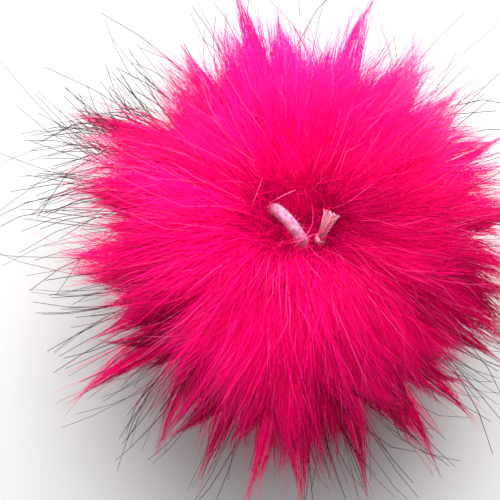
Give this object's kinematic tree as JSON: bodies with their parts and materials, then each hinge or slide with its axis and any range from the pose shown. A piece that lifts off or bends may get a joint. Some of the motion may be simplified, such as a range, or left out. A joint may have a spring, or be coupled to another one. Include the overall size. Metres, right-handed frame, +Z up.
{
  "type": "pompom",
  "caption": "Round long-pile faux-fur pompom with an elastic cord loop and the cord's knotted, frayed end in its gathered opening.",
  "frame": {"origin": "middle of the flat spot that the pompom rests on", "axes": "+Z up, out of the gathered opening with the loop; +X to the right and +Y away from the viewer"},
  "size_m": [0.131, 0.1338, 0.0764],
  "materials": {
    "faux_fur": "soft long pile with a silky sheen, some tips black",
    "white_elastic": "knitted, slightly fuzzy",
    "frayed_elastic": "matt frayed fibres"
  },
  "bodies": {
    "root": {"fur_ball": "faux_fur", "elastic_loop": "white_elastic", "knotted_end": "frayed_elastic"}
  },
  "joints": []
}
